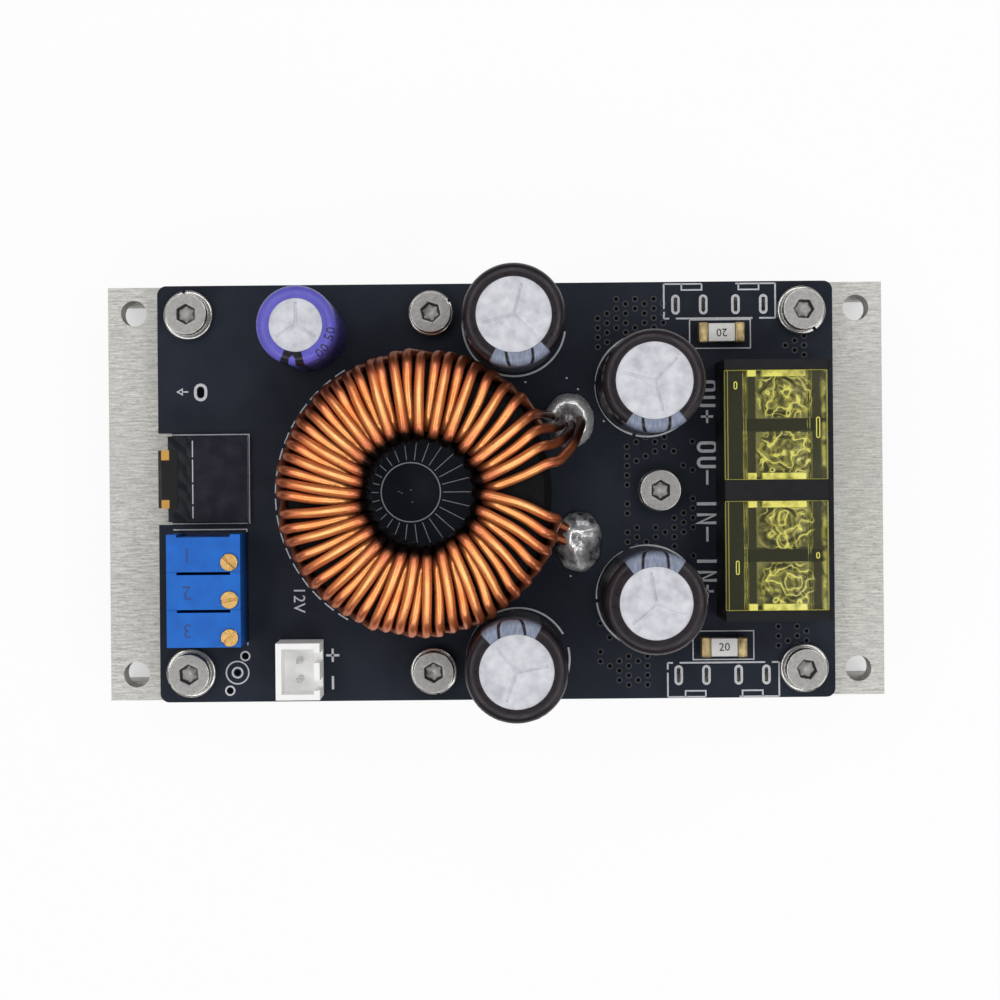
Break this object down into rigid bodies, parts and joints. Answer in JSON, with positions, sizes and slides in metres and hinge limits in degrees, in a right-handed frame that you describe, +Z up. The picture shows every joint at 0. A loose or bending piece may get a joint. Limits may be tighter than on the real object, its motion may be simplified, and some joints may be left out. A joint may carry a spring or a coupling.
{
  "type": "buck-boost converter module",
  "caption": "Open buck-boost converter module: a circuit board with a ring coil, capacitors, trimmers, a display and covered screw terminals, on a finned heatsink.",
  "frame": {"origin": "middle of the whole module's base, level with the tips of the heatsink's fins", "axes": "+Z up, +X along the board towards the screw terminals, +Y across the board"},
  "size_m": [0.105, 0.0576, 0.0426],
  "materials": {
    "heatsink_metal": "extruded, light grey, fine brushed streaks",
    "board": "glass-epoxy board with a near-black blue solder mask, satin",
    "screw_steel": "nickel-plated steel",
    "spacer_brass": "nickel-plated brass",
    "core_coating": "pressed iron powder with a black coating, satin",
    "enamelled_copper": "copper wire with clear enamel, glossy",
    "solder": "bright solder",
    "can_metal": "plain drawn aluminium, slightly mottled",
    "dark_sleeve": "shrunk dark brown film with a grey-blue band",
    "violet_sleeve": "shrunk violet film",
    "tinned_metal": "tinned wire",
    "trimmer_blue": "moulded blue plastic",
    "adjuster_brass": "turned brass",
    "display_glass": "dark display glass",
    "display_tape": "thin foam tape",
    "flex_film": "amber film",
    "header_plastic": "off-white moulded plastic",
    "fuse_ceramic": "white-grey ceramic",
    "fuse_metal": "gold-plated brass",
    "terminal_plastic": "black moulded plastic",
    "cover_plastic": "clear yellow plastic",
    "contact_metal": "tinned brass",
    "clamp_steel": "nickel-plated steel",
    "chip_resin": "moulded black resin",
    "heat_pad": "soft grey-blue pad",
    "resistor": "metal strip resistor"
  },
  "bodies": {
    "module": {"heatsink": "heatsink_metal", "circuit_board": "board", "board_screws": "screw_steel", "screw_washers": "screw_steel", "board_spacers": "spacer_brass", "inductor_core": "core_coating", "inductor_winding": "enamelled_copper", "solder_joint_upper": "solder", "solder_joint_lower": "solder", "capacitor_can_1": "can_metal", "capacitor_can_2": "can_metal", "capacitor_can_3": "can_metal", "capacitor_can_4": "can_metal", "capacitor_can_5": "can_metal", "capacitor_sleeve_1": "dark_sleeve", "capacitor_sleeve_2": "dark_sleeve", "capacitor_sleeve_3": "dark_sleeve", "capacitor_sleeve_4": "dark_sleeve", "capacitor_sleeve_5": "violet_sleeve", "capacitor_leads": "tinned_metal", "trimmer_pins": "tinned_metal", "fan_header_pins": "tinned_metal", "trimmer_body_1": "trimmer_blue", "trimmer_body_2": "trimmer_blue", "trimmer_body_3": "trimmer_blue", "display_glass": "display_glass", "display_tape": "display_tape", "display_flex": "flex_film", "fan_header_shell": "header_plastic", "fuse_body_1": "fuse_ceramic", "fuse_body_2": "fuse_ceramic", "fuse_caps_1": "fuse_metal", "fuse_caps_2": "fuse_metal", "input_terminal_body": "terminal_plastic", "output_terminal_body": "terminal_plastic", "input_terminal_cover": "cover_plastic", "output_terminal_cover": "cover_plastic", "input_terminal_contacts": "contact_metal", "output_terminal_contacts": "contact_metal", "input_terminal_screws": "clamp_steel", "output_terminal_screws": "clamp_steel", "input_terminal_washers": "clamp_steel", "output_terminal_washers": "clamp_steel", "power_transistor_1": "chip_resin", "power_transistor_2": "chip_resin", "power_transistor_3": "chip_resin", "power_transistor_4": "chip_resin", "controller_chip": "chip_resin", "gate_driver_1": "chip_resin", "gate_driver_2": "chip_resin", "heat_pads": "heat_pad", "sense_resistor_1": "resistor", "sense_resistor_2": "resistor"},
    "adjuster_1": {"trimmer_screw_1": "adjuster_brass"},
    "adjuster_2": {"trimmer_screw_2": "adjuster_brass"},
    "adjuster_3": {"trimmer_screw_3": "adjuster_brass"}
  },
  "joints": [
    {"name": "adjuster_1_turn", "type": "hinge", "parent": "module", "child": "adjuster_1", "pos_m": [-0.03454, -0.00869, 0.0326], "axis": [0, 0, 1], "continuous": true},
    {"name": "adjuster_2_turn", "type": "hinge", "parent": "module", "child": "adjuster_2", "pos_m": [-0.03454, -0.01357, 0.0326], "axis": [0, 0, 1], "continuous": true},
    {"name": "adjuster_3_turn", "type": "hinge", "parent": "module", "child": "adjuster_3", "pos_m": [-0.03454, -0.01843, 0.0326], "axis": [0, 0, 1], "continuous": true}
  ]
}
